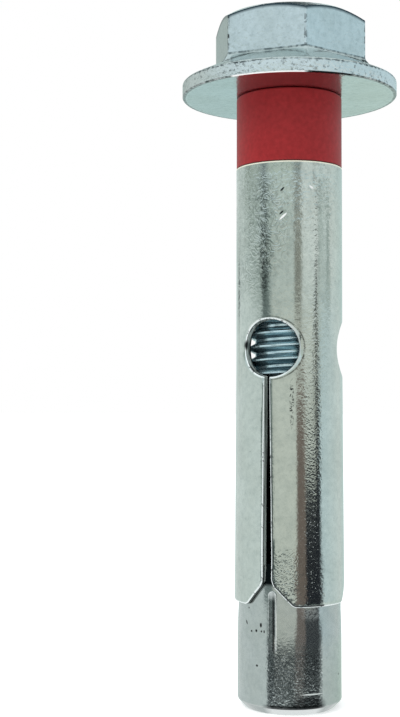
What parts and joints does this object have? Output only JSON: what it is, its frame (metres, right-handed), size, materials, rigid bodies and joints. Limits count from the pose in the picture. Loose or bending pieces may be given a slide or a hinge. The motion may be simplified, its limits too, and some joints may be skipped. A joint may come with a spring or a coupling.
{
  "type": "metal wall anchor",
  "caption": "Steel sleeve anchor: a hexagon flange bolt draws a cone nut into the slit end of an expansion sleeve, with a red plastic crush collar under the flange.",
  "frame": {"origin": "centre of the cone nut's end face, on the anchor's axis, where the anchor stands", "axes": "+Z runs along the axis from the cone nut to the bolt's head; -Y is the front, with the first slit 22 degrees to its left"},
  "size_m": [0.0203, 0.0202, 0.0647],
  "materials": {
    "zinc_bolt": "bright blue-white zinc plating on forged steel",
    "zinc_sleeve": "bright blue-white zinc plating on rolled steel",
    "zinc_nut": "bright blue-white zinc plating on turned steel",
    "red_plastic": "moulded, satin"
  },
  "bodies": {
    "nut": {"cone_nut": "zinc_nut"},
    "sleeve": {"sleeve": "zinc_sleeve", "collar": "red_plastic"},
    "bolt": {"bolt": "zinc_bolt"}
  },
  "joints": [
    {"name": "sleeve_rise", "type": "slide", "parent": "nut", "child": "sleeve", "axis": [0, 0, 1], "range_m": [0, 0.00187]},
    {"name": "bolt_turn", "type": "hinge", "parent": "sleeve", "child": "bolt", "pos_m": [0, 0, 0.05722], "axis": [0, 0, 1], "range_deg": [0, 541]}
  ],
  "couplings": [
    {"joint": "bolt_turn", "follows": "sleeve_rise", "rad_per_m": 5026.5}
  ]
}
